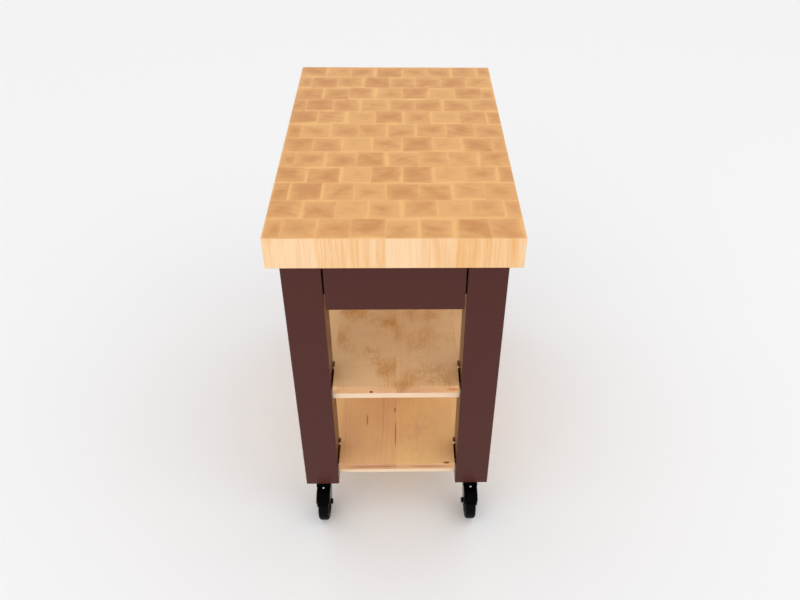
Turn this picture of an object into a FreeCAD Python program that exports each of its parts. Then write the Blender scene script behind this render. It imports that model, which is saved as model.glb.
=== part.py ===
import FreeCAD, Part
import math
import os

Vector = FreeCAD.Vector

# Rolling butcher block table. Origin on the floor under the middle of the table,
# +Z up, X across the table, Y along it. The drawer end faces -Y. Millimetres.

# Driving dimensions of the end-grain top
top_width = 546.0
top_length = 889.0
top_thickness = 76.2
block_rows = 12
blocks_per_row = 7.5

# Legs
leg_side = 88.9
leg_length = 755.0
leg_inset = 25.4
leg_edge_radius = 3.0

# Aprons, runners and the drawer
apron_height = 134.3
apron_thickness = 22.0
runner_height = 70.0
runner_thickness = 22.0
runner_centre_below_top = 85.0
front_thickness = 20.0
front_side_gap = 3.3
front_top_gap = 3.0
front_edge_radius = 1.5
drawer_depth = 500.0
drawer_side_height = 96.0
drawer_board = 12.0
drawer_floor = 6.0
drawer_bottom_clearance = 14.0
groove_depth = 6.0
groove_up = 8.0
groove_clearance = 0.2

# Telescopic slides, one pair of nested channels on each side of the drawer
slide_width = 12.7
slide_height = 45.0
slide_sheet = 1.2
slide_gap = 0.4
slide_web_gap = 0.4
slide_setback = 3.0

# Shelves and the rails they lie on
upper_shelf_height = 506.0
lower_shelf_height = 214.0
shelf_thickness = 22.0
shelf_leg_gap = 4.0
rail_height = 36.0
rail_thickness = 19.0
rail_setback = 19.0
dowel_shares = (-0.25, 0.25)

# Dowels and the screws that hold the top
dowel_radius = 4.0
dowel_length = 40.0
dowel_clearance = 0.05
dowel_end_clearance = 1.0
screw_radius = 2.5
screw_head_radius = 5.0
screw_head_height = 3.5
screw_length = 70.0
screw_bite = 32.0
screw_bore_radius = 6.0
screws_per_side = 3

# Angle brackets that hold each shelf to the legs, with two screws through each flange
bracket_flange = 28.0
bracket_sheet = 2.0
bracket_length = 48.0
bracket_screw_radius = 1.75
bracket_screw_length = 16.0
bracket_head_radius = 3.5
bracket_head_height = 2.0
bracket_screw_spacing = 24.0
pilot_clearance = 0.05
pilot_end_clearance = 0.5

# Casters: everything round the wheel follows its radius and width
wheel_radius = 50.8
wheel_width = 29.0
shoulder_radius = 8.0
trail = 42.0
swivel_height = 28.4
caster_height = 2 * wheel_radius + swivel_height
tyre_thickness = 9.8
tyre_inner_radius = wheel_radius - tyre_thickness
rim_thickness = 7.0
rim_inner_radius = tyre_inner_radius - rim_thickness
tyre_overhang = 1.5
rim_width = wheel_width - 2 * tyre_overhang
web_thickness = 6.0
hub_radius = 13.0
hub_side_gap = 0.5
axle_radius = 4.0
running_clearance = 0.05
hex_flats = 13.0
hex_head_height = 5.3
hex_nut_height = 4.5
bolt_tail = 0.5
wheel_side_gap = 1.5
fork_gap = wheel_width + 2 * wheel_side_gap
fork_sheet = 2.5
fork_boss_radius = 14.0
fork_front_angle = 50.0
fork_overlap = 5.2
fork_reach = wheel_radius + fork_overlap
crown_radius = 26.0
crown_thickness = 5.0
crown_half_length = 24.0
crown_edge_drop = 4.0
cup_wall = 2.0
cup_height = 11.0
race_thickness = 9.0
race_gap = 0.5
stem_radius = 6.0
stem_length = 34.0
insert_radius = 9.0
insert_length = 36.0
insert_clearance = 0.05
kingpin_head_radius = 9.0
kingpin_head_height = 2.7
ball_count = 12
ball_radius = 3.7
ball_circle = 16.0
ball_gap = 0.3

# Brake pedal over the wheel
pedal_pin_radius = 2.5
pedal_pin_head_radius = 4.0
pedal_pin_head_height = 1.2
pedal_barrel_radius = 5.0
pedal_pin_back = 9.0
pedal_pin_forward = trail - pedal_pin_back
pedal_pin_below_top = 20.0
pedal_pin_height = caster_height - pedal_pin_below_top
pedal_side_gap = 0.3
pedal_wheel_gap = 6.2
pedal_inner_radius = wheel_radius + pedal_wheel_gap
pedal_thickness = 3.0
pedal_tip_angle = 42.0
pedal_root_angle = 95.0
pedal_lip_radius = 2.5
shoe_low_angle = 70.0
shoe_high_angle = 84.0
shoe_wheel_gap = 3.5
shoe_inner_radius = wheel_radius + shoe_wheel_gap
shoe_half_width = 11.0
rivet_angle = 90.0
rivet_radius = 3.0
rivet_height = 1.2

# Positions that follow from the sizes above
block_bottom = caster_height + leg_length
table_height = block_bottom + top_thickness
leg_outer_x = top_width / 2 - leg_inset
leg_inner_x = leg_outer_x - leg_side
leg_centre_x = leg_outer_x - leg_side / 2
leg_outer_y = top_length / 2 - leg_inset
leg_inner_y = leg_outer_y - leg_side
leg_centre_y = leg_outer_y - leg_side / 2
apron_bottom = block_bottom - apron_height
runner_z = block_bottom - runner_centre_below_top

drawer_half = leg_inner_x - slide_width
front_back_y = -leg_outer_y + front_thickness
drawer_end_y = front_back_y + drawer_depth
drawer_bottom_z = apron_bottom + drawer_bottom_clearance
floor_z = drawer_bottom_z + groove_up

ends = {"front": -1, "rear": 1}
sides = {"left": -1, "right": 1}
shelf_levels = {"upper": upper_shelf_height, "lower": lower_shelf_height}


def save(name, shapes):
    shape = shapes[0] if len(shapes) == 1 else Part.makeCompound(shapes)
    shape.exportStep("parts/" + name + ".step")


def box(x_pair, y_pair, z_pair):
    low = Vector(min(x_pair), min(y_pair), min(z_pair))
    high = Vector(max(x_pair), max(y_pair), max(z_pair))
    size = high - low
    return Part.makeBox(size.x, size.y, size.z, low)


def rod(radius, start, end):
    return Part.makeCylinder(radius, (end - start).Length, start, end - start)


def hexagon(flats, height, start, direction):
    """A hexagonal head or nut blank whose flats are the given distance apart."""
    prism = Part.Face(Part.makePolygon([
        Vector(flats / math.sqrt(3) * math.cos(math.radians(60 * i)),
               flats / math.sqrt(3) * math.sin(math.radians(60 * i)), 0)
        for i in range(7)
    ])).extrude(Vector(0, 0, height))
    prism.Placement = FreeCAD.Placement(start, FreeCAD.Rotation(Vector(0, 0, 1), direction))
    return prism


def revolve(points, centre, axis):
    """A solid of revolution about a line along X or Z: points are (radius, distance along it)."""
    if axis == "z":
        ring = [centre + Vector(r, 0, along) for r, along in points]
        direction = Vector(0, 0, 1)
    else:
        ring = [centre + Vector(along, 0, r) for r, along in points]
        direction = Vector(1, 0, 0)
    face = Part.Face(Part.makePolygon(ring + ring[:1]))
    return face.revolve(centre, direction, 360)


def round_upright_edges(shape, radius):
    upright = [edge for edge in shape.Edges
               if abs(edge.tangentAt(edge.FirstParameter).z) > 0.99]
    return shape.makeFillet(radius, upright)


# Dowel sockets: every butt joint between a rail, apron or runner and a leg

def dowel_joints():
    """Each entry is the leg face where two boards meet, and the way the dowel runs into the leg."""
    joints = []
    for end in ends.values():
        for side in sides.values():
            for level in shelf_levels.values():
                middle = level - shelf_thickness - rail_height / 2
                for share in dowel_shares:
                    z = middle + share * rail_height
                    rail_y = end * (leg_outer_y - rail_setback - rail_thickness / 2)
                    joints.append((Vector(side * leg_inner_x, rail_y, z), Vector(side, 0, 0)))
                    rail_x = side * (leg_outer_x - rail_setback - rail_thickness / 2)
                    joints.append((Vector(rail_x, end * leg_inner_y, z), Vector(0, end, 0)))
            for share in dowel_shares:
                z = (apron_bottom + block_bottom) / 2 + share * apron_height
                apron_x = side * (leg_outer_x - apron_thickness / 2)
                joints.append((Vector(apron_x, end * leg_inner_y, z), Vector(0, end, 0)))
                if end == ends["rear"]:
                    apron_y = leg_outer_y - apron_thickness / 2
                    joints.append((Vector(side * leg_inner_x, apron_y, z), Vector(side, 0, 0)))
                z = runner_z + share * runner_height
                runner_x = side * (leg_inner_x + runner_thickness / 2)
                joints.append((Vector(runner_x, end * leg_inner_y, z), Vector(0, end, 0)))
    return joints


def dowel(joint, radius, length):
    at, way = joint
    return rod(radius, at - way * (length / 2), at + way * (length / 2))


joint_list = dowel_joints()
socket_length = dowel_length + 2 * dowel_end_clearance
sockets = Part.makeCompound(
    [dowel(joint, dowel_radius + dowel_clearance, socket_length) for joint in joint_list])


def drilled(board):
    return board.cut(sockets)


# Shelf brackets

def bracket_corner(level, side, end):
    """Where the shelf's underside meets the leg's inner face, behind the end rail."""
    rail_back = leg_outer_y - rail_setback - rail_thickness
    return Vector(side * leg_inner_x, end * (rail_back + leg_inner_y) / 2,
                  level - shelf_thickness)


def bracket_screws(level, side, end):
    """The seat of each screw's head on the two flanges, and the way the screw runs."""
    corner = bracket_corner(level, side, end)
    middle = (bracket_flange + bracket_sheet) / 2
    screws = []
    for along in (-bracket_screw_spacing / 2, bracket_screw_spacing / 2):
        screws.append((corner + Vector(-side * bracket_sheet, along, -middle),
                       Vector(side, 0, 0)))
        screws.append((corner + Vector(-side * middle, along, -bracket_sheet),
                       Vector(0, 0, 1)))
    return screws


def bracket_screw(seat, way):
    head = rod(bracket_head_radius, seat - way * bracket_head_height, seat)
    return head.fuse(rod(bracket_screw_radius, seat, seat + way * bracket_screw_length))


def pilot(seat, way):
    return rod(bracket_screw_radius + pilot_clearance, seat,
               seat + way * (bracket_screw_length + pilot_end_clearance))


bracket_places = [(level, side, end) for level in shelf_levels.values()
                  for side in sides.values() for end in ends.values()]
bracket_screw_list = [screw for place in bracket_places for screw in bracket_screws(*place)]
pilots = Part.makeCompound([pilot(*screw) for screw in bracket_screw_list])


def bracket(level, side, end):
    corner = bracket_corner(level, side, end)
    y_pair = (corner.y - bracket_length / 2, corner.y + bracket_length / 2)
    outside = box((corner.x, corner.x - side * bracket_flange), y_pair,
                  (corner.z - bracket_flange, corner.z))
    hollow = box((corner.x - side * bracket_sheet, corner.x - side * 2 * bracket_flange), y_pair,
                 (corner.z - 2 * bracket_flange, corner.z - bracket_sheet))
    return outside.cut(hollow).cut(pilots)


# Top

def top_blocks():
    """Rows across the table; every other row starts with a half block."""
    row_length = top_length / block_rows
    block_width = top_width / blocks_per_row
    blocks = []
    for row in range(block_rows):
        y = -top_length / 2 + row * row_length
        edges = [-top_width / 2]
        if row % 2 == 0:
            edges.append(edges[0] + block_width / 2)
        while edges[-1] < top_width / 2 - block_width / 4:
            edges.append(min(edges[-1] + block_width, top_width / 2))
        for left, right in zip(edges, edges[1:]):
            blocks.append(box((left, right), (y, y + row_length), (block_bottom, table_height)))
    return blocks


# Frame

def leg(side, end):
    post = box((side * leg_inner_x, side * leg_outer_x), (end * leg_inner_y, end * leg_outer_y),
               (caster_height, block_bottom))
    post = round_upright_edges(post, leg_edge_radius)
    centre = Vector(side * leg_centre_x, end * leg_centre_y, caster_height)
    socket = rod(insert_radius + insert_clearance, centre, centre + Vector(0, 0, insert_length))
    return drilled(post).cut(socket).cut(pilots)


def insert(side, end):
    start = Vector(side * leg_centre_x, end * leg_centre_y, caster_height)
    stop = start + Vector(0, 0, insert_length)
    return rod(insert_radius, start, stop).cut(rod(stem_radius + running_clearance, start, stop))


def side_apron(side):
    board = box((side * (leg_outer_x - apron_thickness), side * leg_outer_x),
                (-leg_inner_y, leg_inner_y), (apron_bottom, block_bottom))
    return drilled(board).cut(Part.makeCompound([screw_bore(at) for at in side_screw_places(side)]))


def rear_apron():
    board = box((-leg_inner_x, leg_inner_x), (leg_outer_y - apron_thickness, leg_outer_y),
                (apron_bottom, block_bottom))
    return drilled(board).cut(Part.makeCompound([screw_bore(at) for at in rear_screw_places()]))


def runner(side):
    return drilled(box((side * leg_inner_x, side * (leg_inner_x + runner_thickness)),
                       (-leg_inner_y, leg_inner_y),
                       (runner_z - runner_height / 2, runner_z + runner_height / 2)))


def side_screw_places(side):
    spacing = 2 * leg_inner_y / screws_per_side
    return [Vector(side * (leg_outer_x - apron_thickness / 2),
                   (index - (screws_per_side - 1) / 2) * spacing, block_bottom)
            for index in range(screws_per_side)]


def rear_screw_places():
    return [Vector(side * leg_inner_x / 2, leg_outer_y - apron_thickness / 2, block_bottom)
            for side in sides.values()]


def screw_bore(at):
    """Counterbore from below for the head, and a clear hole for the shank."""
    seat = at + Vector(0, 0, screw_bite - screw_length)
    bottom = Vector(at.x, at.y, apron_bottom)
    return rod(screw_bore_radius, bottom, seat).fuse(
        rod(screw_radius + running_clearance, bottom, at))


def top_screw(at):
    seat = at + Vector(0, 0, screw_bite - screw_length)
    head = rod(screw_head_radius, seat - Vector(0, 0, screw_head_height), seat)
    return head.fuse(rod(screw_radius, seat, at + Vector(0, 0, screw_bite)))


# Shelves: two long boards that reach the leg fronts, two shorter ones between the legs

def shelf(level):
    z_pair = (level - shelf_thickness, level)
    tongue = leg_inner_x - shelf_leg_gap
    short = leg_inner_y - shelf_leg_gap
    boards = []
    for side in sides.values():
        boards.append(box((0, side * tongue), (-leg_outer_y, leg_outer_y), z_pair).cut(pilots))
        boards.append(box((side * tongue, side * leg_outer_x), (-short, short), z_pair))
    return boards


def end_rail(level, end):
    outer = leg_outer_y - rail_setback
    top = level - shelf_thickness
    return drilled(box((-leg_inner_x, leg_inner_x), (end * (outer - rail_thickness), end * outer),
                       (top - rail_height, top)))


def side_rail(level, side):
    outer = leg_outer_x - rail_setback
    top = level - shelf_thickness
    return drilled(box((side * (outer - rail_thickness), side * outer), (-leg_inner_y, leg_inner_y),
                       (top - rail_height, top)))


# Drawer

def drawer_front():
    half = leg_inner_x - front_side_gap
    panel = box((-half, half), (-leg_outer_y, front_back_y),
                (apron_bottom, block_bottom - front_top_gap))
    faces = [edge for edge in panel.Edges if edge.BoundBox.YMax < -leg_outer_y + 0.01]
    return panel.makeFillet(front_edge_radius, faces).cut(floor_groove())


def drawer_side(side):
    board = box((side * (drawer_half - drawer_board), side * drawer_half),
                (front_back_y, drawer_end_y),
                (drawer_bottom_z, drawer_bottom_z + drawer_side_height))
    return board.cut(floor_groove())


def drawer_back():
    board = box((-(drawer_half - drawer_board), drawer_half - drawer_board),
                (drawer_end_y - drawer_board, drawer_end_y),
                (drawer_bottom_z, drawer_bottom_z + drawer_side_height))
    return board.cut(floor_groove())


def floor_edges(clearance):
    """The floor panel's outline in its grooves, enlarged by the clearance."""
    half = drawer_half - drawer_board + groove_depth + clearance
    near = front_back_y - groove_depth - clearance
    far = drawer_end_y - drawer_board + groove_depth + clearance
    return (-half, half), (near, far)


def floor_groove():
    x_pair, y_pair = floor_edges(groove_clearance)
    return box(x_pair, y_pair, (floor_z, floor_z + drawer_floor + groove_clearance))


def drawer_bottom():
    x_pair, y_pair = floor_edges(0)
    return box(x_pair, y_pair, (floor_z, floor_z + drawer_floor))


def channel(side, web_x, reach_x, half_height):
    """A C-shaped channel: its web stands at web_x and its flanges reach to reach_x."""
    towards = 1 if reach_x > web_x else -1
    y_pair = (front_back_y + slide_setback, front_back_y + drawer_depth)
    outside = box((side * web_x, side * reach_x), y_pair,
                  (runner_z - half_height, runner_z + half_height))
    hollow = box((side * (web_x + towards * slide_sheet), side * (reach_x + towards)), y_pair,
                 (runner_z - half_height + slide_sheet, runner_z + half_height - slide_sheet))
    return outside.cut(hollow)


slide_step = slide_sheet + slide_gap
outer_web = leg_inner_x
middle_web = outer_web - slide_sheet - slide_web_gap
inner_reach = middle_web - slide_sheet - slide_web_gap
outer_half = slide_height / 2
middle_half = outer_half - slide_step
inner_half = middle_half - slide_step
flange_reach = drawer_half + slide_sheet + slide_web_gap


def outer_slide(side):
    return channel(side, outer_web, flange_reach, outer_half)


def middle_slide(side):
    return channel(side, middle_web, flange_reach, middle_half)


def inner_slide(side):
    return channel(side, drawer_half, inner_reach, inner_half)


# Casters, built at their swivel axis with the wheel trailing towards -Y

axle_at = Vector(0, -trail, wheel_radius)
plate_inner = fork_gap / 2
plate_outer = plate_inner + fork_sheet
race_bottom = caster_height - race_thickness
crown_top = race_bottom - 2 * (ball_radius + ball_gap)
crown_bottom = crown_top - crown_thickness
pedal_pin_at = Vector(0, -pedal_pin_forward, pedal_pin_height)


def around_axle(radius, angle):
    """A point in the wheel's plane: the angle rises from straight ahead of the wheel."""
    turn = math.radians(angle)
    return axle_at + Vector(0, -radius * math.cos(turn), radius * math.sin(turn))


def stem():
    profile = [
        (0, crown_bottom - ball_gap - kingpin_head_height),
        (kingpin_head_radius, crown_bottom - ball_gap - kingpin_head_height),
        (kingpin_head_radius, crown_bottom - ball_gap),
        (stem_radius, crown_bottom - ball_gap),
        (stem_radius, race_bottom),
        (crown_radius - cup_wall - race_gap, race_bottom),
        (crown_radius - cup_wall - race_gap, caster_height),
        (stem_radius, caster_height),
        (stem_radius, caster_height + stem_length),
        (0, caster_height + stem_length),
    ]
    return revolve(profile, Vector(0, 0, 0), "z")


def balls():
    ring = []
    for index in range(ball_count):
        turn = 2 * math.pi * index / ball_count
        centre = Vector(ball_circle * math.cos(turn), ball_circle * math.sin(turn),
                        crown_top + ball_gap + ball_radius)
        ring.append(Part.makeSphere(ball_radius, centre))
    return ring


def fork_plate(side):
    x = side * plate_inner
    shift = Vector(x, 0, 0)
    front = around_axle(fork_reach, fork_front_angle)
    front_normal = Vector(0, -math.sin(math.radians(fork_front_angle)),
                          -math.cos(math.radians(fork_front_angle)))
    rear = Vector(0, crown_half_length, crown_bottom - crown_edge_drop)
    rear_way = (rear - axle_at).normalize()
    rear_normal = Vector(0, rear_way.z, -rear_way.y)
    outline = [
        Part.LineSegment(axle_at + front_normal * fork_boss_radius, front),
        Part.Arc(front, around_axle(fork_reach, (fork_front_angle + pedal_root_angle) / 2),
                 around_axle(fork_reach, pedal_root_angle)),
        Part.LineSegment(around_axle(fork_reach, pedal_root_angle),
                         Vector(0, -crown_half_length, crown_top)),
        Part.LineSegment(Vector(0, -crown_half_length, crown_top),
                         Vector(0, crown_half_length, crown_top)),
        Part.LineSegment(Vector(0, crown_half_length, crown_top), rear),
        Part.LineSegment(rear, axle_at + rear_normal * fork_boss_radius),
        Part.LineSegment(axle_at + rear_normal * fork_boss_radius,
                         axle_at + front_normal * fork_boss_radius),
    ]
    face = Part.Face(Part.Wire([piece.toShape() for piece in outline]))
    way = Vector(side * fork_sheet, 0, 0)
    plate = face.extrude(way)
    plate.translate(shift)
    boss = rod(fork_boss_radius, axle_at + shift, axle_at + shift + way)
    ear = rod(pedal_barrel_radius, pedal_pin_at + shift, pedal_pin_at + shift + way)
    return plate.fuse(boss).fuse(ear)


def across(radius, half_length, at):
    return rod(radius, at - Vector(half_length, 0, 0), at + Vector(half_length, 0, 0))


def fork():
    crown = rod(crown_radius, Vector(0, 0, crown_bottom), Vector(0, 0, crown_top + cup_height))
    crown = crown.cut(rod(crown_radius - cup_wall, Vector(0, 0, crown_top),
                          Vector(0, 0, crown_top + cup_height)))
    bridge = box((-plate_outer, plate_outer), (-crown_half_length, crown_half_length),
                 (crown_bottom, crown_top))
    body = crown.fuse([bridge, fork_plate(-1), fork_plate(1)])
    bores = [
        rod(stem_radius + running_clearance, Vector(0, 0, 0), Vector(0, 0, caster_height)),
        across(axle_radius + running_clearance, crown_radius, axle_at),
        across(pedal_pin_radius + running_clearance, crown_radius, pedal_pin_at),
    ]
    return body.cut(Part.makeCompound(bores)).removeSplitter()


def pins():
    """Axle bolt, its nut, and the pedal's hinge pin."""
    left = axle_at - Vector(plate_outer, 0, 0)
    right = axle_at + Vector(plate_outer, 0, 0)
    nut_end = right + Vector(hex_nut_height, 0, 0)
    bolt = rod(axle_radius, left, nut_end + Vector(bolt_tail, 0, 0)).fuse(
        hexagon(hex_flats, hex_head_height, left, Vector(-1, 0, 0)))
    nut = hexagon(hex_flats, hex_nut_height, right, Vector(1, 0, 0)).cut(
        rod(axle_radius + running_clearance, right, nut_end))
    pin = across(pedal_pin_radius, plate_outer, pedal_pin_at)
    for side in sides.values():
        face = pedal_pin_at + Vector(side * plate_outer, 0, 0)
        pin = pin.fuse(rod(pedal_pin_head_radius, face,
                           face + Vector(side * pedal_pin_head_height, 0, 0)))
    return [bolt, nut, pin]


def wheel_core():
    hub = plate_inner - hub_side_gap
    bore = axle_radius + running_clearance
    outer = tyre_inner_radius - running_clearance
    half = [
        (bore, hub), (hub_radius, hub), (hub_radius, web_thickness / 2),
        (rim_inner_radius, web_thickness / 2), (rim_inner_radius, rim_width / 2),
        (outer, rim_width / 2),
    ]
    profile = half + [(radius, -along) for radius, along in reversed(half)]
    return revolve(profile, axle_at, "x")


def tyre():
    """Tread with rounded shoulders."""
    body = across(wheel_radius, wheel_width / 2, axle_at)
    rims = [edge for edge in body.Edges if edge.BoundBox.XMax - edge.BoundBox.XMin < 0.01]
    body = body.makeFillet(shoulder_radius, rims)
    return body.cut(across(tyre_inner_radius, wheel_width, axle_at))


def sector(inner, outer, low_angle, high_angle, half_width):
    """A piece of a ring about the axle between two angles."""
    middle = (low_angle + high_angle) / 2
    outline = [
        Part.Arc(around_axle(inner, low_angle), around_axle(inner, middle),
                 around_axle(inner, high_angle)),
        Part.LineSegment(around_axle(inner, high_angle), around_axle(outer, high_angle)),
        Part.Arc(around_axle(outer, high_angle), around_axle(outer, middle),
                 around_axle(outer, low_angle)),
        Part.LineSegment(around_axle(outer, low_angle), around_axle(inner, low_angle)),
    ]
    face = Part.Face(Part.Wire([piece.toShape() for piece in outline]))
    face.translate(Vector(-half_width, 0, 0))
    return face.extrude(Vector(2 * half_width, 0, 0))


def pedal():
    half = plate_inner - pedal_side_gap
    outer = pedal_inner_radius + pedal_thickness
    cover = sector(pedal_inner_radius, outer, pedal_tip_angle, pedal_root_angle, half)
    shoe = sector(shoe_inner_radius, pedal_inner_radius + pedal_thickness / 2,
                  shoe_low_angle, shoe_high_angle, shoe_half_width)
    barrel = across(pedal_barrel_radius, half, pedal_pin_at)
    lip = across(pedal_lip_radius, half, around_axle(outer, pedal_tip_angle))
    rivet = rod(rivet_radius, around_axle(pedal_inner_radius, rivet_angle),
                around_axle(outer + rivet_height, rivet_angle))
    body = cover.fuse([shoe, barrel, lip, rivet])
    return body.cut(across(pedal_pin_radius + running_clearance, crown_radius, pedal_pin_at))


def place(shapes, side, end):
    """Set a caster's shapes under one leg, trailing towards the nearer end of the table."""
    placed = []
    for shape in shapes:
        moved = shape.copy()
        if end > 0:
            moved.rotate(Vector(0, 0, 0), Vector(0, 0, 1), 180)
        moved.translate(Vector(side * leg_centre_x, end * leg_centre_y, 0))
        placed.append(moved)
    return placed


os.makedirs("parts", exist_ok=True)

save("block_top", top_blocks())
for end_name, end in ends.items():
    for side_name, side in sides.items():
        save("leg_" + end_name + "_" + side_name, [leg(side, end)])
save("caster_inserts", [insert(side, end) for end in ends.values() for side in sides.values()])
for side_name, side in sides.items():
    save("apron_" + side_name, [side_apron(side)])
save("apron_rear", [rear_apron()])
save("runners", [runner(side) for side in sides.values()])
save("joint_dowels", [dowel(joint, dowel_radius, dowel_length) for joint in joint_list])
save("top_screws", [top_screw(at) for at in side_screw_places(-1) + side_screw_places(1)
                    + rear_screw_places()])

save("shelf_brackets", [bracket(*place) for place in bracket_places]
     + [bracket_screw(*screw) for screw in bracket_screw_list])
for level_name, level in shelf_levels.items():
    save(level_name + "_shelf", shelf(level))
    for end_name, end in ends.items():
        save(level_name + "_rail_" + end_name, [end_rail(level, end)])
    save(level_name + "_rails_side", [side_rail(level, side) for side in sides.values()])

save("drawer_front", [drawer_front()])
save("drawer_back", [drawer_back()])
save("drawer_bottom", [drawer_bottom()])
for side_name, side in sides.items():
    save("drawer_side_" + side_name, [drawer_side(side)])
    save("slide_outer_" + side_name, [outer_slide(side)])
    save("slide_middle_" + side_name, [middle_slide(side)])
    save("slide_inner_" + side_name, [inner_slide(side)])

caster_pieces = {
    "stem": [stem()], "balls": balls(), "fork": [fork()], "pins": pins(),
    "wheel_core": [wheel_core()], "tyre": [tyre()], "pedal": [pedal()],
}
for end_name, end in ends.items():
    for side_name, side in sides.items():
        for piece_name, shapes in caster_pieces.items():
            save("_".join(["caster", end_name, side_name, piece_name]), place(shapes, side, end))
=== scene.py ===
import math
import random

import bmesh
import bpy
from mathutils import Matrix, Vector


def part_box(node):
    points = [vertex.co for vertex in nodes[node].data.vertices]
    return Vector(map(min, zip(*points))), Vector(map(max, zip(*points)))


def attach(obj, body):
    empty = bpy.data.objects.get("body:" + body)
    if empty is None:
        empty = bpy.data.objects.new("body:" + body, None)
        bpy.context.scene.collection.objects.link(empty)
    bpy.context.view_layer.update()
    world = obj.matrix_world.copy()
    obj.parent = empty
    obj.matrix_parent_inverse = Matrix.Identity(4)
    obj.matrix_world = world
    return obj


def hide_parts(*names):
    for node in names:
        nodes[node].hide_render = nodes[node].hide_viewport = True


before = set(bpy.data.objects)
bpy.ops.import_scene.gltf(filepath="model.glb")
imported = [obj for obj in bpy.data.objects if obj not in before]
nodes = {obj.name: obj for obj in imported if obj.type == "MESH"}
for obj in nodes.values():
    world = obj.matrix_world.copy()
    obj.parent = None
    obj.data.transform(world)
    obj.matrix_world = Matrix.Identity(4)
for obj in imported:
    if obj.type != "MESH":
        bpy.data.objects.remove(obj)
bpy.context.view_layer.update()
ends = ("front", "rear")
sides = ("left", "right")
print("frame loaded:", len(nodes), "nodes")


def screenColour(red, green, blue):
    # 0-255 values as seen on a screen, as linear light with alpha
    def linear(value):
        value /= 255
        return value / 12.92 if value <= 0.04045 else ((value + 0.055) / 1.055) ** 2.4
    return (linear(red), linear(green), linear(blue), 1.0)


studio = {
    "cameraPlace": (0.0134, -1.7379, 1.8473),
    "lookDown": 39.002,         # degrees below the horizon
    "turn": -1.699,
    "roll": 0.839,
    "focal": 34.451,
    "sensorWidth": 36,
    "sideShift": -0.0236,
    "worldStrength": 0.96,
    "floorColour": screenColour(246, 246, 247),
    "floorRoughness": 0.9,
    "floorGloss": 0.1,
    "floorHalf": 30.0,
    # place, aim, size, watts, colour
    "lamps": [
        ((-1.6, -3.4, 2.6), (0.0, -0.3, 0.6), 2.4, 13, (1.0, 0.98, 0.95)),
        ((2.2, -1.0, 3.6), (0.0, 0.0, 0.7), 2.0, 8, (1.0, 1.0, 1.0)),
    ],
}


def aim(thing, target):
    thing.rotation_euler = (Vector(target) - thing.location).to_track_quat("-Z", "Y").to_euler()


def makeStudio():
    scene = bpy.context.scene
    scene.view_settings.view_transform = "Standard"
    camera = bpy.data.objects.new("camera", bpy.data.cameras.new("camera"))
    camera.data.lens = studio["focal"]
    camera.data.sensor_width = studio["sensorWidth"]
    camera.data.shift_x = studio["sideShift"]
    turn = Matrix.Rotation(math.radians(studio["turn"]), 4, "Z")
    tilt = Matrix.Rotation(math.radians(90 - studio["lookDown"]), 4, "X")
    roll = Matrix.Rotation(math.radians(studio["roll"]), 4, "Z")
    camera.matrix_world = Matrix.Translation(studio["cameraPlace"]) @ turn @ tilt @ roll
    scene.collection.objects.link(camera)
    scene.camera = camera

    world = bpy.data.worlds.new("studio")
    world.use_nodes = True
    background = world.node_tree.nodes["Background"]
    background.inputs["Color"].default_value = (1, 1, 1, 1)
    background.inputs["Strength"].default_value = studio["worldStrength"]
    scene.world = world

    for number, (place, target, size, watts, colour) in enumerate(studio["lamps"]):
        light = bpy.data.lights.new(f"softbox{number}", "AREA")
        light.shape = "SQUARE"
        light.size = size
        light.energy = watts
        light.color = colour
        lamp = bpy.data.objects.new(light.name, light)
        lamp.location = place
        scene.collection.objects.link(lamp)
        aim(lamp, target)

    half = studio["floorHalf"]
    mesh = bpy.data.meshes.new("floor")
    corners = [(-half, -half, 0), (half, -half, 0), (half, half, 0), (-half, half, 0)]
    mesh.from_pydata(corners, [], [(0, 1, 2, 3)])
    floor = bpy.data.objects.new("floor", mesh)
    scene.collection.objects.link(floor)
    mesh.materials.append(Shader("floorPaper").surface({
        "Base Color": studio["floorColour"],
        "Roughness": studio["floorRoughness"],
        "Specular IOR Level": studio["floorGloss"],
    }))


class Value:
    # one output of a material's node; arithmetic on values adds Math nodes
    def __init__(self, shader, socket):
        self.shader, self.socket = shader, socket

    def maths(self, operation, *others):
        inputs = dict(enumerate((self, *others)))
        return self.shader.add("Math", {"operation": operation}, inputs)

    def reflected(self, operation, other):
        return self.shader.add("Math", {"operation": operation}, {0: other, 1: self})

    def __add__(self, other):
        return self.maths("ADD", other)

    def __sub__(self, other):
        return self.maths("SUBTRACT", other)

    def __mul__(self, other):
        return self.maths("MULTIPLY", other)

    def __rsub__(self, other):
        return self.reflected("SUBTRACT", other)

    __radd__ = __add__
    __rmul__ = __mul__

    def smooth(self, low, high):
        return self.shader.add("MapRange", {"interpolation_type": "SMOOTHSTEP"},
                               {0: self, 1: low, 2: high})


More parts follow.
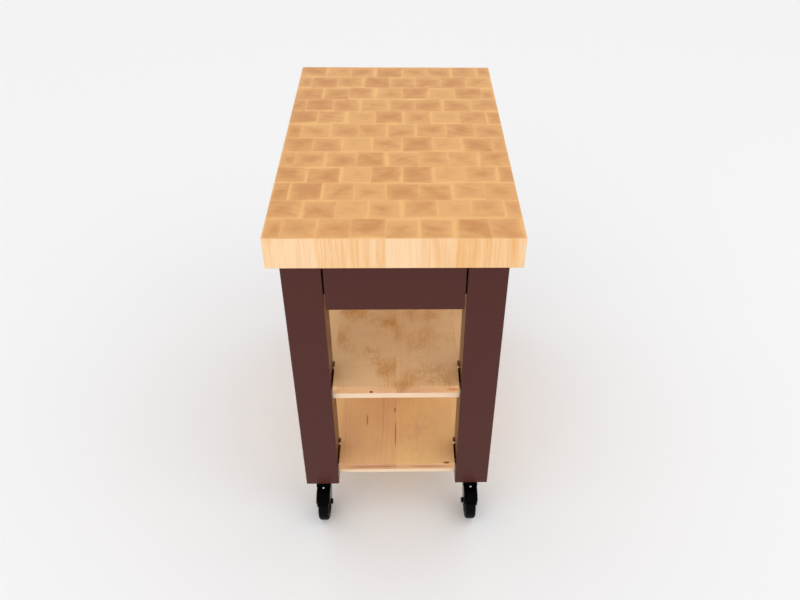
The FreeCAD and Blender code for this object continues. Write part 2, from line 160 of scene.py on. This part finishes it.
class Shader:
    def __init__(self, name):
        self.material = bpy.data.materials.new(name)
        self.material.use_nodes = True
        self.tree = self.material.node_tree
        self.tree.nodes.clear()

    def add(self, kind, settings=None, sockets=None, output=0):
        node = self.tree.nodes.new("ShaderNode" + kind)
        for name, setting in (settings or {}).items():
            setattr(node, name, setting)
        for key, content in (sockets or {}).items():
            if isinstance(content, Value):
                self.tree.links.new(content.socket, node.inputs[key])
            else:
                node.inputs[key].default_value = content
        return Value(self, node.outputs[output] if node.outputs else None)

    def attribute(self, name):
        return self.add("Attribute", {"attribute_name": name}, output="Vector")

    def split(self, vector):
        first = self.add("SeparateXYZ", sockets={0: vector})
        return [Value(self, socket) for socket in first.socket.node.outputs]

    def join(self, x, y, z):
        return self.add("CombineXYZ", sockets={0: x, 1: y, 2: z})

    def mix(self, amount, first, second, blend="MIX"):
        settings = {"data_type": "RGBA", "blend_type": blend}
        return self.add("Mix", settings, {0: amount, 6: first, 7: second}, output=2)

    def noise(self, vector, scale, detail=2.0, roughness=0.5):
        return self.add("TexNoise", sockets={
            "Vector": vector, "Scale": scale, "Detail": detail, "Roughness": roughness})

    def near(self, place, reach, solid=0.45):
        # 1 inside a soft-edged oval about a place on the object, 0 outside it
        moved = self.add("VectorMath", {"operation": "SUBTRACT"},
                         {0: self.add("TexCoord", output="Object"), 1: place})
        scaled = self.add("VectorMath", {"operation": "DIVIDE"}, {0: moved, 1: reach})
        distance = self.add("VectorMath", {"operation": "LENGTH"}, {0: scaled}, "Value")
        return 1 - distance.smooth(solid, 1.0)

    def bump(self, height, distance, strength=1.0):
        return self.add("Bump", sockets={
            "Height": height, "Distance": distance, "Strength": strength})

    def surface(self, sockets):
        principled = self.add("BsdfPrincipled", sockets=sockets)
        self.add("OutputMaterial", sockets={"Surface": principled})
        return self.material


# "grain" holds the two distances from the pith and the distance along the board, "tint" the
# board's tone, seed and whether the face is end grain, "cell" the place within the board
# and how figured the board is
def woodMaterial(name, look):
    shader = Shader(name)
    acrossA, acrossB, along = shader.split(shader.attribute("grain"))
    tone, seed, endness = shader.split(shader.attribute("tint"))
    cellA, cellB, figured = shader.split(shader.attribute("cell"))

    # growth rings about the pith, pushed about by a slow wobble and by swirls in figured boards
    slow = shader.join(acrossA + seed, acrossB, along * look["taper"])
    wobble = shader.noise(slow, look["wobbleScale"], 2.0) - 0.5
    curled = shader.join(acrossA, acrossB + seed, along * look["swirlLength"])
    swirl = (shader.noise(curled, look["swirlScale"], 1.5) - 0.5) * figured
    squares = acrossA * acrossA + acrossB * acrossB
    radius = squares.maths("SQRT") + wobble * look["wobbleSize"] + swirl * look["swirlSize"]
    widePlace = shader.join(radius * look["ringsWide"], seed, along * look["wideLength"])
    wideRings = shader.noise(widePlace, 1.0, 1.0)
    finePlace = shader.join(radius * look["ringsFine"], seed * look["fineShuffle"],
                            along * look["fineLength"])
    fineRings = shader.noise(finePlace, 1.0, 2.0)
    lineStrength = figured * look["lineFigured"] + look["lineDepth"]
    lines = (radius * look["lineRate"]).maths("SINE") * lineStrength

    # fibres along the board, rays out from the pith, broad patches
    stretched = shader.join(acrossA, acrossB, along * look["fibreLength"])
    fibre = shader.noise(stretched, look["fibreScale"], 3.0, 0.6)
    streaky = shader.noise(stretched, look["lineScale"], 3.0, 0.6) - 0.5
    angle = acrossB.maths("ARCTAN2", acrossA)
    rayPlace = shader.join(angle * look["rays"], radius * look["rayBreaks"], seed)
    rays = shader.noise(rayPlace, 1.0, 1.0)
    patchPlace = shader.join(acrossA + seed, acrossB - seed, along * look["patchLength"])
    patches = shader.noise(patchPlace, look["patchScale"], 2.0)
    patchStrength = figured * look["patchFigured"] + look["patchDepth"]

    # sapwood lies towards some edges of the cell, heartwood fills its middle
    shuffleA, shuffleB = look["heartShuffle"]
    heartA = ((seed * shuffleA).maths("FRACT") - 0.5) * look["heartShift"]
    heartB = ((seed * shuffleB).maths("FRACT") - 0.5) * look["heartShift"]
    besideA = (cellA + heartA).maths("ABSOLUTE")
    besideB = (cellB + heartB).maths("ABSOLUTE")
    distance = (besideA.maths("SMOOTH_MAX", besideB, look["heartRound"])
                + wobble * look["edgeWobble"])
    edge = cellA.maths("ABSOLUTE").maths("MAXIMUM", cellB.maths("ABSOLUTE"))
    joint = (edge + wobble * look["jointWobble"]).smooth(look["jointStart"], 1.0)
    sap = distance.smooth(look["sapStart"], look["sapEnd"]).maths(
        "MAXIMUM", joint * look["jointPale"])

    depth = (tone * look["toneSpread"] + (wideRings - 0.5) * look["wideDepth"]
             + (fineRings - 0.5) * look["fineDepth"] + lines + (patches - 0.5) * patchStrength)
    onEnd = (depth + (rays - 0.5) * look["rayDepth"] + (fibre - 0.5) * look["poreDepth"]
             + (look["centreReach"] - distance) * look["centreDepth"])
    faceTone = (seed * look["faceShuffle"]).maths("FRACT") - 0.5
    onFace = (depth + streaky * look["streakyDepth"] + (fibre - 0.5) * look["fibreDepth"]
              + faceTone * look["faceSpread"] + look["faceShift"])
    heart = shader.mix(onEnd.smooth(0.0, 1.0), look["endLight"], look["endDark"])
    endColour = shader.mix(sap * look["sapAmount"], heart, look["sapColour"])
    flecks = shader.noise(stretched, look["fleckScale"], 3.0).smooth(*look["fleckRange"]) * figured
    endColour = shader.mix(flecks * look["fleckAmount"], endColour, look["sapColour"])
    faceColour = shader.mix(onFace.smooth(0.0, 1.0), look["faceLight"], look["faceDark"])

    # long mineral streaks, then a shimmer across curly grain
    streakScale, streakLength = look["streakSize"]
    streakPlace = shader.join(acrossA * streakScale, acrossB * streakScale, along * streakLength)
    streak = shader.noise(streakPlace, 1.0, 2.0).smooth(*look["streakRange"]) * look["streaks"]
    faceColour = shader.mix(streak, faceColour, look["streakColour"])
    colour = shader.mix(endness, faceColour, endColour)
    curlScale, curlLength = look["curlSize"]
    curlPlace = shader.join(acrossA * curlScale, acrossB * curlScale, along * curlLength)
    shimmer = (shader.noise(curlPlace, 1.0, 1.0) - 0.5) * figured * look["figure"] + 1.0
    colour = shader.mix(1.0, colour, shader.join(shimmer, shimmer, shimmer), "MULTIPLY")
    for place, reach, spotColour in look["spots"]:
        colour = shader.mix(shader.near(place, reach), colour, spotColour)

    grainHeight = (fibre * look["fibreHeight"] + fineRings * look["ringHeight"]
                   + rays * endness * look["rayHeight"])
    roughness = (look["roughness"] + (fibre - 0.5) * look["fibreRough"]
                 + endness * look["endRough"])
    return shader.surface({
        "Base Color": colour,
        "Roughness": roughness,
        "Specular IOR Level": look["gloss"],
        "Normal": shader.bump(grainHeight, look["bumpDepth"]),
    })


mapleLook = {
    "taper": 0.25, "wobbleScale": 14.0, "wobbleSize": 0.007,
    "swirlLength": 1.0, "swirlScale": 20.0, "swirlSize": 0.012,
    "ringsWide": 90.0, "wideLength": 0.4,
    "ringsFine": 800.0, "fineLength": 0.8, "fineShuffle": 3.1,
    "lineRate": 2600.0, "lineDepth": 0.07, "lineFigured": 0.0,
    "fibreScale": 1500.0, "fibreLength": 0.02, "rays": 60.0, "rayBreaks": 14.0,
    "patchLength": 0.15, "patchScale": 30.0,
    "sapStart": 0.87, "sapEnd": 1.17, "sapAmount": 0.72, "edgeWobble": 0.5,
    "heartShift": 0.5, "heartRound": 0.25, "heartShuffle": (5.3, 9.1),
    "jointPale": 0.36, "jointStart": 0.88, "jointWobble": 0.3,
    "toneSpread": 0.55, "wideDepth": 0.4, "fineDepth": 0.65, "patchDepth": 0.8,
    "patchFigured": 0.0, "rayDepth": 0.1, "poreDepth": 0.8,
    "centreDepth": 0.5, "centreReach": 0.55,
    "lineScale": 480.0, "streakyDepth": 1.1, "faceShift": -0.08,
    "fibreDepth": 0.5, "faceSpread": 0.3, "faceShuffle": 1.37,
    "fleckAmount": 0.55, "fleckScale": 420.0, "fleckRange": (0.52, 0.7),
    "endLight": screenColour(227, 170, 106), "endDark": screenColour(201, 137, 78),
    "sapColour": screenColour(240, 187, 117),
    "faceLight": screenColour(254, 216, 172), "faceDark": screenColour(240, 181, 113),
    "streaks": 0.0, "streakColour": screenColour(190, 130, 80),
    "streakSize": (60.0, 1.2), "streakRange": (0.66, 0.8),
    "figure": 0.0, "curlSize": (9.0, 75.0),
    "roughness": 0.46, "fibreRough": 0.12, "endRough": 0.06, "gloss": 0.35,
    "bumpDepth": 0.0002, "fibreHeight": 0.5, "ringHeight": 0.3, "rayHeight": 0.2,
    # place, reach, colour
    "spots": [
        ((-0.205, -0.163, 0.9612), (0.007, 0.0016, 0.004), screenColour(158, 100, 60)),
        ((0.176, 0.088, 0.9612), (0.003, 0.0014, 0.003), screenColour(120, 76, 48)),
        ((0.066, -0.232, 0.9612), (0.009, 0.0012, 0.004), screenColour(196, 132, 80)),
        ((0.050, 0.222, 0.9612), (0.040, 0.0018, 0.004), screenColour(252, 214, 158)),
    ],
}

shelfLook = dict(
    mapleLook,
    taper=0.5, wobbleScale=3.0, wobbleSize=0.03,
    swirlLength=0.8, swirlScale=24.0, swirlSize=0.05,
    ringsWide=60.0, ringsFine=260.0, lineRate=1100.0, lineDepth=0.03, lineFigured=0.055,
    jointPale=0.0, patchLength=0.9, patchScale=13.0, patchDepth=0.4, patchFigured=1.5,
    toneSpread=0.6,
    wideDepth=0.35, fineDepth=0.4, faceSpread=0.0, centreDepth=0.0, fleckAmount=0.0,
    streakyDepth=0.4, lineScale=300.0, faceShift=0.0,
    endLight=screenColour(222, 170, 120), endDark=screenColour(176, 118, 74),
    sapAmount=0.0, edgeWobble=0.0,
    faceLight=screenColour(246, 203, 152), faceDark=screenColour(211, 144, 70),
    streaks=0.3, figure=0.1,
    spots=[
        ((-0.061, -0.4191, 0.4893), (0.0052, 0.006, 0.0044), screenColour(9, 5, 4)),
        ((0.140, -0.4191, 0.4965), (0.022, 0.004, 0.0062), screenColour(205, 132, 76)),
        ((-0.006, -0.223, 0.214), (0.0026, 0.012, 0.003), screenColour(158, 94, 52)),
        ((-0.004, -0.315, 0.214), (0.0024, 0.060, 0.003), screenColour(184, 120, 72)),
        ((-0.084, -0.262, 0.214), (0.0030, 0.028, 0.003), screenColour(192, 128, 76)),
        ((0.133, -0.416, 0.214), (0.012, 0.0045, 0.004), screenColour(150, 86, 46)),
        ((-0.060, -0.4191, 0.2035), (0.090, 0.004, 0.0050), screenColour(184, 122, 90)),
        ((0.085, -0.4191, 0.2030), (0.080, 0.004, 0.0048), screenColour(188, 128, 94)),
    ],
)

# the lower shelf's left boards are pinker than its right ones
lowerShelfLook = dict(
    shelfLook,
    faceLight=screenColour(246, 203, 139), faceDark=screenColour(227, 165, 131),
)

railLook = dict(
    shelfLook,
    endLight=screenColour(238, 210, 172), endDark=screenColour(214, 176, 130),
    faceLight=screenColour(252, 226, 196), faceDark=screenColour(232, 196, 154),
    patchDepth=0.3, patchFigured=0.0, lineDepth=0.05, lineFigured=0.0,
    streaks=0.1, figure=0.05, roughness=0.6, gloss=0.25, spots=[],
)

plyLook = dict(
    railLook,
    faceLight=screenColour(240, 212, 170), faceDark=screenColour(222, 186, 138),
    endLight=screenColour(226, 192, 146), endDark=screenColour(176, 132, 88),
)


def roundEdges(mesh, edges, radius, steps):
    if edges:
        bmesh.ops.bevel(mesh, geom=edges, offset=radius, segments=steps, profile=0.5,
                        affect="EDGES", clamp_overlap=True)


def edgesOf(made):
    # in the order they were made, each once
    return list(dict.fromkeys(edge for vertex in made["verts"] for edge in vertex.link_edges))


boardPlan = {
    "edgeSteps": 3,
    "sharpAngle": 40,           # degrees between faces, for a crisp edge
    # drawn for each board: pith's distance, tone, seed and place along the log
    "pith": (-0.06, 0.06),
    "tone": (0.1, 0.9),
    "seed": (0, 9),
    "slide": (-2, 2),
}


def boardIn(mesh, low, high, grainAxis, chance, radius, rounded=None, **facts):
    # adds one board to a bmesh, rounds the edges asked for and writes its wood coordinates
    low, high = Vector(low), Vector(high)
    centre, half = (low + high) / 2, (high - low) / 2
    figure = facts.get("figure", 0.0)
    before = set(mesh.faces)
    place = Matrix.Translation(centre) @ Matrix.Diagonal((*(2 * half), 1))
    edges = edgesOf(bmesh.ops.create_cube(mesh, size=1, matrix=place))
    if rounded:
        edges = [edge for edge in edges if rounded(*[vertex.co for vertex in edge.verts])]
    roundEdges(mesh, edges, radius, boardPlan["edgeSteps"])
    crossA, crossB = [axis for axis in range(3) if axis != grainAxis]
    pith = facts.get("pith") or [chance.uniform(*boardPlan["pith"]) for cross in range(2)]
    tone = facts.get("tone", chance.uniform(*boardPlan["tone"]))
    seed, slide = chance.uniform(*boardPlan["seed"]), chance.uniform(*boardPlan["slide"])
    layers = mesh.loops.layers.float_vector
    grain, tint, cell = [layers.get(name) or layers.new(name) for name in ("grain", "tint", "cell")]
    for face in mesh.faces:
        if face in before:
            continue
        face.smooth = True
        endness = abs(face.normal[grainAxis]) ** 2
        for loop in face.loops:
            offset = loop.vert.co - centre
            a, b = offset[crossA], offset[crossB]
            loop[grain] = Vector((a + pith[0], b + pith[1], offset[grainAxis] + slide))
            loop[tint] = Vector((tone, seed, endness))
            loop[cell] = Vector((a / half[crossA], b / half[crossB], figure))


def addPiece(name, mesh, material, body, slot, *replaced):
    data = bpy.data.meshes.new(name)
    mesh.normal_update()
    mesh.to_mesh(data)
    mesh.free()
    data.materials.append(material)
    data.set_sharp_from_angle(angle=math.radians(boardPlan["sharpAngle"]))
    piece = bpy.data.objects.new(name, data)
    bpy.context.scene.collection.objects.link(piece)
    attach(piece, body)
    if replaced:
        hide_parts(*replaced)
    return piece


def addWood(name, mesh, material, body, slot, *replaced):
    piece = addPiece(name, mesh, material, body, slot, *replaced)
    modifier = piece.modifiers.new("evenNormals", "WEIGHTED_NORMAL")
    modifier.keep_sharp = True


def addBoard(prefix, node, grainAxis, chance, material, body, slot, **facts):
    # one board in place of one whole node
    low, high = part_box(node)
    mesh = bmesh.new()
    boardIn(mesh, low, high, grainAxis, chance, **facts)
    addWood(prefix + node, mesh, material, body, slot, node)


topLook = {
    "rows": 12,
    "blocksPerRow": 7.5,
    "edgeRadius": 0.0022,
    "pithAside": (-0.05, 0.05),
    "pithAway": (0.05, 0.2),
    "seed": 11,
    "toneRange": (0.5, 1.05),
    "paleTone": 0.3,
    "darkTone": 1.15,
    # row from the drawer end, block from the left
    "darkBlocks": [(0, 3), (0, 6), (2, 1), (2, 4), (3, 3), (3, 4), (4, 3), (5, 4), (7, 0), (7, 3),
                   (8, 1), (9, 6), (10, 3), (10, 6), (11, 3)],
    "paleBlocks": [(1, 2), (1, 5), (3, 2), (3, 5), (5, 2), (5, 5), (7, 2), (7, 5), (9, 5)],
}


def makeTop():
    low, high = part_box("block_top")
    chance = random.Random(topLook["seed"])
    mesh = bmesh.new()
    rowLength = (high[1] - low[1]) / topLook["rows"]
    width = (high[0] - low[0]) / topLook["blocksPerRow"]

    def onRim(first, second, near=1e-5):
        # edges where two outer faces of the whole top meet
        walls = [(axis, wall) for axis in range(3) for wall in (low[axis], high[axis])]
        shared = [abs(first[axis] - wall) < near and abs(second[axis] - wall) < near
                  for axis, wall in walls]
        return sum(shared) > 1

    for row in range(topLook["rows"]):
        y = low[1] + row * rowLength
        joints = [low[0]] + ([low[0] + width / 2] if row % 2 == 0 else [])
        while joints[-1] < high[0] - width / 4:
            joints.append(min(joints[-1] + width, high[0]))
        for number, (left, right) in enumerate(zip(joints, joints[1:])):
            tone = chance.uniform(*topLook["toneRange"])
            pale = (row, number) in topLook["paleBlocks"]
            if pale:
                tone = topLook["paleTone"]
            elif (row, number) in topLook["darkBlocks"]:
                tone = topLook["darkTone"]
            aside = chance.uniform(*topLook["pithAside"])
            away = chance.choice((-1, 1)) * chance.uniform(*topLook["pithAway"])
            boardIn(mesh, (left, y, low[2]), (right, y + rowLength, high[2]), 2, chance,
                    radius=topLook["edgeRadius"], rounded=onRim, tone=tone,
                    figure=float(pale), pith=(aside, away))
    addWood("end_grain_top", mesh, woodMaterial("oiledEndGrain", mapleLook), "table",
            "block_maple", "block_top")


paintLook = {
    "colour": screenColour(78, 37, 31),
    "worn": screenColour(100, 56, 47),
    "wornAmount": 0.3,
    "roughness": 0.27,
    "gloss": 0.2,
    "brushScale": 900.0,
    "brushRough": 0.08,
    "brushHeight": 0.4,
    "broadScale": 6.0,
    "broadRough": 0.12,
    "broadWear": 0.16,
    "grainScale": 260.0,
    "grainLength": 9.0,
    "grainWear": 0.08,
    "wearRange": (-0.2, 0.6),
    "bumpDepth": 0.00012,
    "legRadius": 0.003,
    "panelRadius": 0.0016,
    "seed": 3,
}


def paintMaterial():
    shader = Shader("satinPaint")
    place = shader.add("TexCoord", output="Object")
    brushed = shader.noise(place, paintLook["brushScale"], 2.0)
    broad = shader.noise(place, paintLook["broadScale"], 3.0)
    x, y, z = shader.split(place)
    grainPlace = shader.join(x * paintLook["grainScale"], y * paintLook["grainScale"],
                             z * paintLook["grainLength"])
    grainShows = shader.noise(grainPlace, 1.0, 2.0)
    wear = (broad - 0.5) * paintLook["broadWear"] + (grainShows - 0.5) * paintLook["grainWear"]
    colour = shader.mix(wear.smooth(*paintLook["wearRange"]) * paintLook["wornAmount"],
                        paintLook["colour"], paintLook["worn"])
    return shader.surface({
        "Base Color": colour,
        "Roughness": (paintLook["roughness"] + (broad - 0.5) * paintLook["broadRough"]
                      + (brushed - 0.5) * paintLook["brushRough"]),
        "Specular IOR Level": paintLook["gloss"],
        "Normal": shader.bump(brushed * paintLook["brushHeight"] + grainShows,
                              paintLook["bumpDepth"]),
    })


def makePainted(paint):
    chance = random.Random(paintLook["seed"])
    boards = [(name, 2, "table", "legRadius") for name in nodes if name.startswith("leg_")]
    boards += [(f"apron_{place}", 1, "table", "panelRadius") for place in (*sides, "rear")]
    boards.append(("drawer_front", 0, "drawer", "panelRadius"))
    for name, grainAxis, body, radius in boards:
        addBoard("painted_", name, grainAxis, chance, paint, body, "painted_wood",
                 radius=paintLook[radius])


shelfPlan = {
    "edgeRadius": 0.0012,
    "legGap": 0.004,
    "pithAside": (-0.05, 0.05),
    "pithAway": (0.05, 0.11),
    # tone and figure of the boards from left to right
    "upper_shelf": [(0.0, 0.5), (0.5, 1.0), (0.4, 0.9), (0.1, 0.5)],
    "lower_shelf": [(0.0, 0.05), (0.66, 0.12), (0.16, 0.5), (-0.3, 0.1)],
}


def makeShelf(name, material):
    low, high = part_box(name)
    chance = random.Random(name)
    # two long boards run out between the legs, a short one on either side stops before them
    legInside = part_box("leg_front_left")[1]
    tongue = -legInside[0] - shelfPlan["legGap"]
    short = -legInside[1] - shelfPlan["legGap"]
    spans = [(low[0], -tongue, short), (-tongue, 0, high[1]), (0, tongue, high[1]),
             (tongue, high[0], short)]
    mesh = bmesh.new()

    def onOutside(first, second, long=0.05, near=1e-4):
        # joint lines between the boards stay sharp
        middle = (first + second) / 2
        alongY = abs(first[1] - second[1]) > long
        inner = min(abs(middle[0] - x) for x in (-tongue, 0, tongue)) < near
        return not (alongY and inner)

    for (left, right, reach), (tone, figure) in zip(spans, shelfPlan[name]):
        pith = (chance.uniform(*shelfPlan["pithAside"]), chance.uniform(*shelfPlan["pithAway"]))
        boardIn(mesh, (left, -reach, low[2]), (right, reach, high[2]), 1, chance,
                radius=shelfPlan["edgeRadius"], rounded=onOutside, tone=tone, figure=figure,
                pith=pith)
    addWood("oiled_" + name, mesh, material, "table", "shelf_maple", name)


railPlan = {
    "edgeRadius": 0.0012,
    "runnerRadius": 0.0015,
    "pith": (0.08, 0.02),
    "seed": 5,
}


def addPair(node, depth, radius, chance, material):
    # two boards along Y, one at either side of a node that holds both
    low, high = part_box(node)
    mesh = bmesh.new()
    for left, right in ((low[0], low[0] + depth), (high[0] - depth, high[0])):
        boardIn(mesh, (left, low[1], low[2]), (right, high[1], high[2]), 1, chance,
                radius=radius, pith=railPlan["pith"])
    addWood("pale_" + node, mesh, material, "table", "rail_wood", node)


def makeRails(material):
    chance = random.Random(railPlan["seed"])
    radius, pith = railPlan["edgeRadius"], railPlan["pith"]
    for level in ("upper", "lower"):
        for end in ends:
            addBoard("pale_", f"{level}_rail_{end}", 0, chance, material, "table", "rail_wood",
                     radius=radius, pith=pith)
        low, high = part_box(f"{level}_rail_front")
        addPair(f"{level}_rails_side", high[1] - low[1], radius, chance, material)
    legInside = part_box("leg_front_left")[1][0]
    addPair("runners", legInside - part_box("runners")[0][0], railPlan["runnerRadius"], chance,
            material)


drawerPlan = {
    "edgeRadius": 0.001,
    "pith": (0.09, 0.03),
    "seed": 8,
    # board and the axis its grain runs along
    "boards": [("drawer_side_left", 1), ("drawer_side_right", 1), ("drawer_back", 0),
               ("drawer_bottom", 1)],
}


def makeDrawerBox(material):
    chance = random.Random(drawerPlan["seed"])
    for name, grainAxis in drawerPlan["boards"]:
        addBoard("plywood_", name, grainAxis, chance, material, "drawer", "drawer_plywood",
                 radius=drawerPlan["edgeRadius"], pith=drawerPlan["pith"])


# colour, roughness, metallic, gloss
metalLook = {
    "blackCoat": (screenColour(4, 4, 4), 0.16, 0.0, 0.02),
    "blackBolt": (screenColour(8, 8, 9), 0.22, 0.0, 0.06),
    "darkSlide": (screenColour(20, 20, 21), 0.35, 0.0, 0.2),
    "brightSteel": (screenColour(240, 240, 241), 0.32, 1.0, 0.5),
    "plainSteel": (screenColour(200, 200, 200), 0.28, 1.0, 0.5),
    "nylon": (screenColour(16, 17, 19), 0.42, 0.0, 0.2),
    "rubber": (screenColour(9, 10, 12), 0.4, 0.0, 0.035),
}


hardSurface = {
    "speckleScale": 700.0,
    "speckleRough": 0.06,
    "smearScale": 45.0,
    "smearShade": 0.2,
    "smearRough": 0.14,
    "bumpDepth": 0.00005,
}


def hardMaterial(name):
    colour, roughness, metallic, gloss = metalLook[name]
    shader = Shader(name)
    place = shader.add("TexCoord", output="Object")
    speckle = shader.noise(place, hardSurface["speckleScale"], 3.0)
    smear = shader.noise(place, hardSurface["smearScale"], 2.0)
    shade = (smear - 0.5) * hardSurface["smearShade"] + 1.0
    tinted = shader.mix(1.0, colour, shader.join(shade, shade, shade), "MULTIPLY")
    return shader.surface({
        "Base Color": tinted,
        "Roughness": (roughness + (smear - 0.5) * hardSurface["smearRough"]
                      + (speckle - 0.5) * hardSurface["speckleRough"]),
        "Metallic": metallic,
        "Specular IOR Level": gloss,
        "Normal": shader.bump(speckle, hardSurface["bumpDepth"]),
    })


def finishNode(name, material):
    data = nodes[name].data
    data.materials.clear()
    data.materials.append(material)


casterLook = {
    "segments": 72,
    "treadWidth": 0.029,
    "shoulder": 0.008,
    "shoulderSteps": 6,
    "bead": (0.0016, 0.0012),   # chamfer beside the core, up and across
    "ribs": 8,
    "ribThickness": 0.0026,
    "ribSetBack": 0.002,        # from the rim's side
    "ribInto": 0.001,           # into the web, hub and rim
    "ribEdge": 0.0005,
    "ribEdgeSteps": 2,
    "rim": (0.034, 0.013),      # inner radius, half width
    "web": 0.003,               # half thickness
    "hub": (0.013, 0.0155),     # radius, half length
    "bore": 0.00405,
    "chamfer": 0.0006,
    "rivetRadius": 0.0034,
    "rivetHeight": 0.0030,
    "rivetSunk": 0.0003,
    "rivetSegments": 24,
    "hoodRadius": 0.060,
    # part of the caster and its finish
    "finishes": [("fork", "blackCoat"), ("pedal", "blackCoat"), ("stem", "blackCoat"),
                 ("pins", "blackBolt"), ("balls", "plainSteel")],
}


def latheX(mesh, profile, centre):
    # turns (radius, distance along X) points about the wheel's own axis
    segments = casterLook["segments"]
    turns = [2 * math.pi * step / segments for step in range(segments)]
    rings = [[mesh.verts.new((centre[0] + along, centre[1] + radius * math.cos(turn),
                              centre[2] + radius * math.sin(turn))) for turn in turns]
             for radius, along in profile]
    for first, second in zip(rings, rings[1:] + rings[:1]):
        for step in range(segments):
            after = (step + 1) % segments
            face = mesh.faces.new((first[step], second[step], second[after], first[after]))
            face.smooth = True
    bmesh.ops.recalc_face_normals(mesh, faces=mesh.faces)


def outerRadius(node):
    low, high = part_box(node)
    return (high[2] - low[2]) / 2


def makeTread(name, centre, material):
    outer, inner = outerRadius(name + "_tyre"), outerRadius(name + "_wheel_core")
    half = casterLook["treadWidth"] / 2
    shoulder, steps = casterLook["shoulder"], casterLook["shoulderSteps"]
    turns = [math.pi / 2 * step / steps for step in range(steps + 1)]
    arc = [(outer - shoulder + shoulder * math.cos(turn),
            half - shoulder + shoulder * math.sin(turn)) for turn in turns]
    profile = [(radius, -along) for radius, along in reversed(arc)] + arc
    up, across = casterLook["bead"]
    profile += [(inner + up, half), (inner, half - across), (inner, across - half),
                (inner + up, -half)]
    mesh = bmesh.new()
    latheX(mesh, profile, centre)
    addPiece(name + "_tread", mesh, material, name + "_wheel", "caster_tread", name + "_tyre")


def makeCore(name, centre, material):
    # hub, thin web and rim in one turned shape, with ribs standing on both sides of the web
    outer = outerRadius(name + "_wheel_core")
    rim, halfRim = casterLook["rim"]
    hub, halfHub = casterLook["hub"]
    bore, web, chamfer = casterLook["bore"], casterLook["web"], casterLook["chamfer"]
    into = casterLook["ribInto"]
    half = [(bore, halfHub - chamfer), (bore + chamfer, halfHub), (hub - chamfer, halfHub),
            (hub, halfHub - chamfer), (hub + into, web), (rim - into, web),
            (rim, halfRim - chamfer), (rim + chamfer, halfRim), (outer - chamfer, halfRim),
            (outer, halfRim - chamfer)]
    mesh = bmesh.new()
    latheX(mesh, half + [(radius, -along) for radius, along in reversed(half)], centre)
    depth = halfRim - web - casterLook["ribSetBack"]
    size = Matrix.Diagonal((depth + into, rim - hub + 2 * into, casterLook["ribThickness"], 1))
    for number in range(casterLook["ribs"]):
        turn = Matrix.Rotation(2 * math.pi * number / casterLook["ribs"], 4, "X")
        for side in (-1, 1):
            place = Matrix.Translation((side * (web + depth / 2), (hub + rim) / 2, 0))
            matrix = Matrix.Translation(centre) @ turn @ place @ size
            edges = edgesOf(bmesh.ops.create_cube(mesh, size=1, matrix=matrix))
            roundEdges(mesh, edges, casterLook["ribEdge"], casterLook["ribEdgeSteps"])
    addPiece(name + "_ribbed_core", mesh, material, name + "_wheel", "caster_core_nylon",
             name + "_wheel_core")


def makeRivet(name, centre, material):
    # a low dome on top of the pedal's hood
    foot = centre + Vector((0, 0, casterLook["hoodRadius"] - casterLook["rivetSunk"]))
    radius, segments = casterLook["rivetRadius"], casterLook["rivetSegments"]
    size = Matrix.Diagonal((radius, radius, casterLook["rivetHeight"], 1))
    mesh = bmesh.new()
    bmesh.ops.create_uvsphere(mesh, u_segments=segments, v_segments=segments // 2, radius=1,
                              matrix=Matrix.Translation(foot) @ size)
    for face in mesh.faces:
        face.smooth = True
    addPiece(name + "_rivet", mesh, material, name + "_brake", "fastener_steel")


def makeCasters():
    for end in ends:
        for side in sides:
            name = f"caster_{end}_{side}"
            low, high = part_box(name + "_tyre")
            centre = (low + high) / 2
            makeTread(name, centre, hardFinishes["rubber"])
            makeCore(name, centre, hardFinishes["nylon"])
            makeRivet(name, centre, hardFinishes["brightSteel"])
            for part, finish in casterLook["finishes"]:
                finishNode(f"{name}_{part}", hardFinishes[finish])


def finishHardware():
    for name in nodes:
        if name.startswith("slide_"):
            finishNode(name, hardFinishes["darkSlide"])
    for name in ("top_screws", "caster_inserts"):
        finishNode(name, hardFinishes["plainSteel"])
    # the shelf brackets are black-painted steel that holds the shelves; their black under the gaps
    # beside the legs also stands in for the deep shade in those gaps, as painted shade
    finishNode("shelf_brackets", hardFinishes["blackCoat"])


makeStudio()
print("studio ready")
makeTop()
print("top ready")
makePainted(paintMaterial())
makeShelf("upper_shelf", woodMaterial("oiledUpperShelf", shelfLook))
makeShelf("lower_shelf", woodMaterial("oiledLowerShelf", lowerShelfLook))
railWood = woodMaterial("paleRail", railLook)
makeRails(railWood)
makeDrawerBox(woodMaterial("drawerPly", plyLook))
finishNode("joint_dowels", railWood)
print("woodwork ready")
hardFinishes = {name: hardMaterial(name) for name in metalLook}
makeCasters()
finishHardware()
print("casters and hardware ready")
